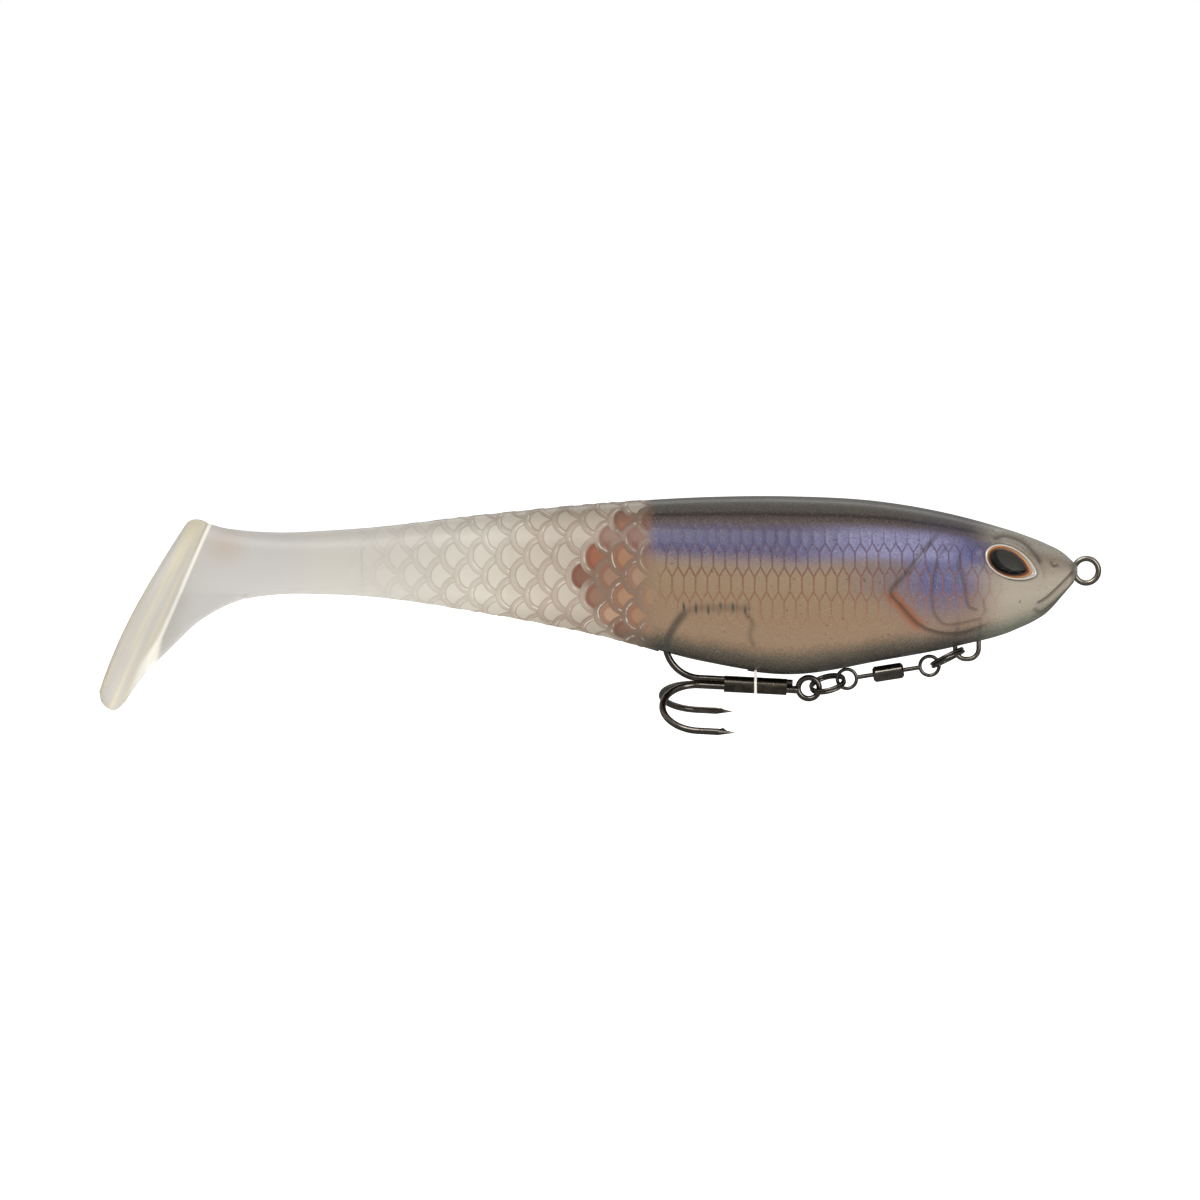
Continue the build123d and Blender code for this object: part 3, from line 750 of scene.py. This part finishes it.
def flank_colour(s, u, v, level, space):
    """Printed core in front: dark back, violet upper flank, tan lower flank and a pearly head.

    Gives its colour, its scales' outlines and its fine speckle."""
    speckle = s.noise(space, 3000.0, 3.0, 0.75)
    broad = s.noise(space, 160.0, 2.0)
    wobble = level + (speckle - 0.5) * 0.18 + (broad - 0.5) * 0.04
    flank = s.ramp(wobble, [
        (0.00, linear(33, 32, 28)), (0.05, linear(56, 52, 44)), (0.10, linear(85, 76, 63)),
        (0.18, linear(134, 110, 87)), (0.37, linear(135, 112, 87)), (0.57, linear(139, 118, 94)),
        (0.64, linear(130, 114, 104)), (0.70, linear(87, 80, 99)), (0.765, linear(74, 70, 97)),
        (0.82, linear(88, 80, 92)), (0.86, linear(88, 76, 70)), (0.90, linear(66, 57, 51)),
        (0.93, linear(74, 69, 61)), (1.00, linear(74, 73, 64)),
    ])
    flank = s.mix(s.near(level, 0.905, 0.020) * 0.75, flank, linear(40, 34, 29))
    head = s.ramp(wobble, [
        (0.00, linear(76, 78, 67)), (0.07, linear(94, 97, 84)), (0.20, linear(146, 137, 122)),
        (0.36, linear(160, 150, 134)), (0.52, linear(156, 146, 130)), (0.66, linear(138, 127, 113)),
        (0.80, linear(126, 115, 100)), (0.90, linear(146, 139, 126)), (1.00, linear(150, 146, 134)),
    ])
    to_head = s.step(u + (speckle - 0.5) * (6 * MM), -26 * MM, -16 * MM)
    front = s.mix(to_head, flank, head)
    grain = s.step(s.noise(space, 2300.0, 2.0, 0.8), 0.40, 0.62)
    violet = s.attribute("violet") * (1.0 - to_head * 0.8)
    front = s.mix(violet * (grain * 0.25 + 0.72), front, linear(74, 78, 124))
    upper = s.step(level, 0.60, 0.70) * s.step(level, 0.88, 0.80) * (1.0 - to_head)
    front = s.mix(upper * grain * 0.6, front, linear(66, 66, 116))
    near_gill = s.step(u, -66 * MM, -42 * MM) * s.step(u, -22 * MM, -32 * MM)
    near_gill = near_gill * s.step(level, 0.62, 0.70) * s.step(level, 0.88, 0.80)
    front = s.mix(near_gill * (grain * 0.35 + 0.45), front, linear(150, 147, 178))
    by_gill = s.step(u, -56 * MM, -41 * MM) * s.step(u, -36 * MM, -39 * MM)
    by_gill = by_gill * s.step(level, 0.36, 0.50) * s.step(level, 0.66, 0.60)
    front = s.mix(by_gill * 0.6, front, linear(106, 92, 94))
    edge = cell_edge(NodeMaths, u, v + FRONT_SHIFT, FRONT_PITCH, FRONT_ROW, FRONT_STRETCH)
    width = s.noise(space, 420.0, 1.0) * (0.16 * MM) + 0.04 * MM
    outline = s.step(edge - width, 0.10 * MM, 0.0)
    band = s.step(level, 0.20, 0.40) * s.step(level, 0.88, 0.72) * (1.0 - to_head)
    band = band * s.step(u, -91.5 * MM, -86 * MM)
    line_colour = s.ramp(level, [
        (0.30, linear(140, 98, 72)), (0.55, linear(112, 72, 56)), (0.68, linear(84, 60, 74)), (0.8, linear(74, 66, 98)),
    ])
    front = s.mix(outline * band * 0.70, front, line_colour)
    glitter = s.step(s.noise(space, 5200.0, 1.0), 0.64, 0.74)
    front = s.mix(glitter * 0.30, front, linear(206, 190, 176))
    dust = s.step(s.noise(space, 3700.0, 1.0), 0.38, 0.30)
    front = s.mix(dust * (s.step(level, 0.66, 0.88) * 0.55 + 0.22), front, linear(52, 40, 36))
    spots = s.step(s.noise(space, 1300.0, 0.0), 0.20, 0.17)
    front = s.mix(spots * 0.5, front, linear(70, 44, 32))
    front = s.mix(s.attribute("rust") * 0.85, front, linear(138, 84, 54))
    # painted shade of the slot and the hanger's legs seen through the skin
    front = s.mix((s.attribute("seen_through_shade") * 0.9).op("MINIMUM", 0.95), front, linear(56, 56, 50))
    front = s.mix(s.step(u, -3.8 * MM, -3.0 * MM) * 0.7, front, linear(96, 92, 84))
    return front, outline * band, speckle


def skin_material():
    """Clear soft plastic: over the coloured core in front, milky through the tail."""
    s = Shade("soft_skin")
    u, v = s.uv("flank")
    level, height, rear_fade = s.attribute("level"), s.attribute("height"), s.attribute("rear")
    space = s.rest_coords()
    front, outline, speckle = flank_colour(s, u, v, level, space)
    depth, centre_u, centre_v = rear_scales(NodeMaths, u, v)
    depth = depth + (s.noise(space, 260.0, 2.0) - 0.5) * (0.7 * MM)
    in_cell = s.step(depth, REAR_WALL, REAR_WALL + WALL_EDGE)
    solid, loose = scalloped_core(s, u, height, in_cell, centre_u, centre_v)
    # each scale's own number from 0 to 1
    cell = ((centre_u * 9137.0 + centre_v * 5209.0).op("SINE") * 43.7).op("FRACT")
    cell_colour = s.ramp(cell, [
        (0.0, linear(138, 84, 60)), (0.3, linear(150, 116, 86)), (0.55, linear(162, 132, 108)),
        (0.75, linear(112, 72, 56)), (1.0, linear(156, 126, 102)),
    ])
    rust_edge = s.near(depth, REAR_WALL + 0.5 * MM, 0.8 * MM) * 0.5
    cell_colour = s.mix(rust_edge, cell_colour, linear(112, 52, 36))
    loose_colour = s.mix(in_cell, linear(112, 84, 66), cell_colour)
    loose_colour = s.mix(s.step(level, 0.80, 0.95) * 0.6, loose_colour, linear(84, 72, 60))
    loose_colour = s.mix(s.step(level, 0.16, 0.02) * 0.7, loose_colour, linear(72, 68, 56))
    haze = (s.noise(space, 90.0, 3.0) - 0.5) * 0.25
    along = s.step(u, -150 * MM, -96 * MM)
    rear = s.ramp(along + haze, [
        (0.0, linear(190, 186, 177)), (0.45, linear(197, 191, 179)), (0.75, linear(183, 172, 157)),
        (1.0, linear(158, 142, 126)),
    ])
    rim = s.step(level, 0.22, 0.0).op("MAXIMUM", s.step(level, 0.86, 1.0)) * along
    rear = s.mix(rim * 0.8, rear, linear(118, 107, 90))
    wall = s.step(depth, 0.0, 0.3 * MM) * (1.0 - in_cell)
    patchy = s.noise(space, 130.0, 2.0) * 0.6
    rear = s.mix(wall * rear_fade * patchy, rear, linear(152, 134, 118))
    rear = s.mix(in_cell * rear_fade * 0.30, rear, linear(202, 195, 180))
    cream = s.attribute("cream")
    cool = s.step(u, -158 * MM, -168 * MM) * (1.0 - cream)
    rear = s.mix(cool * 0.6, rear, linear(184, 182, 180))
    streaks = s.noise(s.stretched(space, (520.0, 30.0, 22.0)), 1.0, 2.0)
    paddle = s.mix(s.step(streaks, 0.42, 0.60), linear(206, 197, 173), linear(192, 187, 178))
    rear = s.mix(cream * 0.9, rear, paddle)
    rear = s.mix(s.attribute("weld"), rear, linear(236, 233, 222))
    rear = s.mix(s.attribute("smudge") * 0.5, rear, linear(180, 160, 140))
    rear = s.mix(loose, rear, loose_colour)
    colour = s.mix(solid, rear, front)
    lines = s.near(depth, 0.10 * MM, 0.22 * MM).op("MAXIMUM", s.near(depth, REAR_WALL, 0.20 * MM))
    colour = s.mix(lines * rear_fade * (1.0 - solid) * 0.34, colour, linear(108, 84, 70))
    # painted highlight: pale glints along the inner side of each scale's raised wall
    painted_highlight_line = s.near(depth, REAR_WALL - 0.36 * MM, 0.22 * MM)
    painted_glint = painted_highlight_line * s.step(s.noise(space, 480.0, 2.0), 0.48, 0.66)
    colour = s.mix(painted_glint * rear_fade * (1.0 - solid) * 0.6, colour, linear(226, 218, 206))
    # painted shade in the moulded grooves
    colour = s.mix(s.attribute("groove_shade") * 0.7, colour, linear(66, 54, 46))
    s.join(colour, "Base Color")
    s.join(s.noise(space, 700.0, 2.0) * 0.14 + 0.26, "Roughness")
    s.join((1.0 - loose.op("MAXIMUM", solid)) * 0.5, "Subsurface Weight")
    s.set(Subsurface_Radius=(1.0, 0.9, 0.75), Subsurface_Scale=0.0012, Coat_Weight=0.12, Coat_Roughness=0.10)
    s.set(IOR=1.46, Specular_IOR_Level=0.25, Metallic=0.0)
    s.bump(speckle * 0.25 + (1.0 - outline) * 1.2, 0.05 * MM, 0.6)
    return s.material


def metal_material(name, colour, roughness, worn):
    """Plated wire: a dark mirror with a fine grain and rubbed patches."""
    s = Shade(name)
    space = s.object_coords()
    rub = s.step(s.noise(space, 380.0, 3.0), 0.52, 0.72)
    s.join(s.mix(rub * 0.6, linear(*colour), linear(*worn)), "Base Color")
    s.join(s.noise(space, 1500.0, 2.0) * 0.12 + roughness, "Roughness")
    s.set(Metallic=1.0)
    s.bump(s.noise(space, 3000.0, 2.0), 0.008 * MM, 0.5)
    return s.material


def plain_material(name, first, second, roughness, coat=0.0, metallic=0.0):
    """Small moulded or cast part, mottled between two close colours."""
    s = Shade(name)
    grain = s.noise(s.object_coords(), 900.0, 3.0)
    s.join(s.mix(grain, linear(*first), linear(*second)), "Base Color")
    s.join(grain * 0.15 + roughness, "Roughness")
    s.set(Coat_Weight=coat, Coat_Roughness=0.03, Metallic=metallic)
    s.bump(grain, 0.01 * MM, 0.4)
    return s.material


def foil_material():
    """Eye foil: silver rim and copper ring around a dark middle."""
    s = Shade("eye_foil")
    grain = s.noise(s.object_coords(), 3200.0, 2.0)
    wobble = s.attribute("reach") + (grain - 0.5) * 0.04
    colour = s.ramp(wobble, [
        (0.0, linear(20, 16, 14)), (0.66, linear(34, 24, 18)), (0.73, linear(96, 62, 44)),
        (0.79, linear(146, 94, 62)), (0.82, linear(226, 146, 70)), (0.845, linear(240, 168, 90)),
        (0.865, linear(150, 122, 102)), (0.89, linear(210, 202, 190)), (0.95, linear(218, 212, 202)),
        (0.985, linear(180, 170, 158)), (1.0, linear(70, 60, 52)),
    ])
    s.join(colour, "Base Color")
    s.join(grain * 0.10 + 0.24, "Roughness")
    s.set(Metallic=0.35, Coat_Weight=0.3, Coat_Roughness=0.05)
    return s.material


def pupil_material():
    """Black pupil with a painted smoke-grey reflection over most of it."""
    s = Shade("eye_pupil")
    grain = s.noise(s.object_coords(), 1600.0, 3.0)
    reflection_grey = s.mix(grain, linear(50, 49, 45), linear(64, 62, 57))
    s.join(s.mix(s.attribute("painted_reflection"), linear(10, 9, 8), reflection_grey), "Base Color")
    s.join(grain * 0.08 + 0.34, "Roughness")
    s.set(Specular_IOR_Level=0.15)
    return s.material


def lens_material():
    """Clear dome, dark enough that it adds no veil over the eye."""
    s = Shade("eye_lens")
    grain = s.noise(s.object_coords(), 600.0, 2.0)
    s.join(grain * 0.02 + 0.02, "Roughness")
    s.set(Base_Color=linear(24, 24, 24), Alpha=0.08, IOR=1.5)
    return s.material


# ---------------------------------------------------------------- build the moulding
CUT_PLACES = (-119.5 * MM, -150.5 * MM)         # between the tail's hinges
side_points = moulding_grid()
rings = full_rings(side_points)
base_normals = grid_normals(rings)
arc = arc_height(rings)
heights, masks = relief(rings, arc)
flat_uv = np.stack([rings[..., 0], arc], -1)
rings = rings + base_normals * heights[..., None]
moulding_normals = grid_normals(rings)
station_x = side_points[:, SIDE_POINTS // 2, 0]
cut_front, cut_rear = (int(np.argmin(np.abs(station_x - place))) for place in CUT_PLACES)

soft_skin = skin_material()
pieces = {}
for name, first, last in (
    ("bait_front", 0, cut_front),
    ("bait_middle", cut_front, cut_rear),
    ("bait_tail", cut_rear, len(rings) - 1),
):
    piece = cut_piece(name, rings, moulding_normals, flat_uv, masks, first, last)
    weld(piece, WELD_SKIN)
    piece.data.materials.append(soft_skin)
    pieces[name] = piece

# ---------------------------------------------------------------- belly slot
SLOT_HALF = 2.4 * MM
SLOT_MIDDLE_Y = -0.75 * MM
SLOT_PROFILE = [(-89.2, -30.0), (-89.0, -17.0), (-87.6, -11.0), (-84.0, -7.0), (-79.8, -5.6), (-74.0, -5.8),
                (-71.0, -6.4), (-70.4, -9.0), (-70.4, -30.0)]       # x and z in mm


def slot_cutter():
    """Flat-sided block in the shape of the slot."""
    mesh = bpy.data.meshes.new("slot_cutter")
    near = [(x * MM, SLOT_MIDDLE_Y - SLOT_HALF, z * MM) for x, z in SLOT_PROFILE]
    far = [(x * MM, SLOT_MIDDLE_Y + SLOT_HALF, z * MM) for x, z in SLOT_PROFILE]
    count = len(SLOT_PROFILE)
    faces = [tuple(range(count)), tuple(reversed(range(count, 2 * count)))]
    faces += [(i, i + count, (i + 1) % count + count, (i + 1) % count) for i in range(count)]
    mesh.from_pydata(near + far, [], faces)
    cutter = new_object("slot_cutter", mesh)
    weld(cutter, WELD_FINE)
    return cutter


def apply_boolean(piece, cutter):
    """Cuts the cutter's shape out of the piece, for good, and removes the cutter."""
    modifier = piece.modifiers.new("cut", "BOOLEAN")
    modifier.object = cutter
    modifier.operation = "DIFFERENCE"
    modifier.solver = "EXACT"
    deps = bpy.context.evaluated_depsgraph_get()
    result = bpy.data.meshes.new_from_object(piece.evaluated_get(deps))
    piece.modifiers.clear()
    result.name = piece.name
    piece.data = result
    bpy.data.objects.remove(cutter)


apply_boolean(pieces["bait_front"], slot_cutter())

# ---------------------------------------------------------------- eyes
EYE_RINGS = 26
EYE_SIDES = 96


def eye_disc(name, side, profile, scale, material, node, shift=0.0):
    """Closed teardrop piece whose height over the eye's plane follows a profile from its middle to its rim."""
    along, up, normal, centre = eye_axes(side)
    angles = np.linspace(0, 2 * math.pi, EYE_SIDES, endpoint=False)
    ou, ov = teardrop(angles)
    centre = centre + along * shift
    co, reach, reflection_grey = [], [], []
    for k in range(1, EYE_RINGS + 1):
        share = k / EYE_RINGS
        lift = profile(share)
        for a, b in zip(ou, ov):
            co.append(centre + along * ((a - EYE_SHIFT) * share * scale + EYE_SHIFT) + up * (b * share * scale)
                      + normal * lift)
            reach.append(share + 0.45 * a / EYE_LENGTH * share * (1 - share))
            # share of the pupil's painted grey reflection at this point
            offset = math.hypot((a * share - REFLECTION_ALONG) / EYE_LENGTH, (b * share - REFLECTION_UP) / EYE_HEIGHT)
            reflection_grey.append(min(max((REFLECTION_REACH - offset) / REFLECTION_EDGE, 0.0), 1.0))
    co.append(centre + along * EYE_SHIFT + normal * profile(0))
    reach.append(0.0)
    reflection_grey.append(1.0)
    faces = []
    for k in range(EYE_RINGS - 1):
        for j in range(EYE_SIDES):
            n = (j + 1) % EYE_SIDES
            faces.append((k * EYE_SIDES + j, (k + 1) * EYE_SIDES + j, (k + 1) * EYE_SIDES + n, k * EYE_SIDES + n))
    last = len(co) - 1
    faces += [(last, j, (j + 1) % EYE_SIDES) for j in range(EYE_SIDES)]
    # back wall, so that the piece is closed
    under = len(co)
    base = profile(1.0) - EYE_BACK
    for a, b in zip(ou, ov):
        co.append(centre + along * ((a - EYE_SHIFT) * scale + EYE_SHIFT) + up * (b * scale) + normal * base)
        reach.append(1.0)
        reflection_grey.append(0.0)
    outer = (EYE_RINGS - 1) * EYE_SIDES
    for j in range(EYE_SIDES):
        n = (j + 1) % EYE_SIDES
        faces.append((outer + j, under + j, under + n, outer + n))
    faces.append(tuple(under + j for j in reversed(range(EYE_SIDES))))
    mesh = bpy.data.meshes.new(name)
    mesh.from_pydata([tuple(p) for p in co], [], faces)
    add_layer(mesh, "reach", reach)
    add_layer(mesh, "painted_reflection", reflection_grey)
    mesh.polygons.foreach_set("use_smooth", [True] * len(faces))
    mesh.materials.append(material)
    piece = new_object(name, mesh)
    weld(piece, WELD_FINE)
    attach(piece, "body")
    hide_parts(node)


foil = foil_material()
pupil = pupil_material()
lens = lens_material()


def foil_profile(share):
    """Dished foil with a raised rim."""
    rim = math.exp(-(((share - 0.93) / 0.055) ** 2))
    return MM * (-0.25 + 0.55 * rim - 0.35 * (1 - share) ** 0.5)


def pupil_profile(share):
    """Low dome."""
    return MM * (-0.30 + 0.55 * math.sqrt(max(0.0, 1 - share**2)))


def lens_profile(share):
    """Full dome."""
    return MM * (0.05 + 0.75 * max(0.0, 1 - share**2.4) ** 0.6)


for side, word in ((-1, "right"), (1, "left")):
    eye_disc(f"{word}_foil", side, foil_profile, 1.05, foil, f"{word}_eye_foil")
    eye_disc(f"{word}_pupil", side, pupil_profile, PUPIL_SCALE, pupil, f"{word}_eye_pupil", PUPIL_SHIFT)
    eye_disc(f"{word}_lens", side, lens_profile, 0.86, lens, f"{word}_eye_lens")

# ---------------------------------------------------------------- hardware
black_nickel = metal_material("black_nickel", (116, 110, 102), 0.10, (158, 150, 138))
wire_metal = metal_material("tie_wire", (150, 144, 130), 0.16, (184, 176, 162))
braze = metal_material("braze", (92, 86, 76), 0.20, (136, 128, 112))
collar_grey = plain_material("collar", (104, 100, 92), (132, 128, 118), 0.4, coat=0.2)
keeper_clear = plain_material("keeper", (224, 218, 204), (240, 236, 226), 0.3, coat=0.4)
lead = plain_material("keel_weight", (92, 92, 94), (120, 120, 122), 0.5, metallic=0.8)


def dress(node, material):
    """Puts a material on a CAD node's mesh, and shades it smooth."""
    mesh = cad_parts[node].data
    mesh.materials.clear()
    mesh.materials.append(material)
    mesh.polygons.foreach_set("use_smooth", [True] * len(mesh.polygons))


for node in ("swivel_front_eye", "swivel_barrel", "swivel_rear_eye", "treble_double_hook", "treble_single_hook",
             "front_split_ring", "rear_split_ring"):
    dress(node, black_nickel)
dress("harness_wire", wire_metal)
dress("treble_braze", braze)
dress("nose_collar", collar_grey)
dress("hook_keeper", keeper_clear)
dress("keel_weight", lead)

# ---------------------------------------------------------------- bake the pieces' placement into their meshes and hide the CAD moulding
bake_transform(pieces["bait_front"])
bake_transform(pieces["bait_middle"])
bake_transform(pieces["bait_tail"])
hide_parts("body_skin", "body_core")
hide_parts("tail_front")
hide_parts("tail_rear", "tail_paddle")
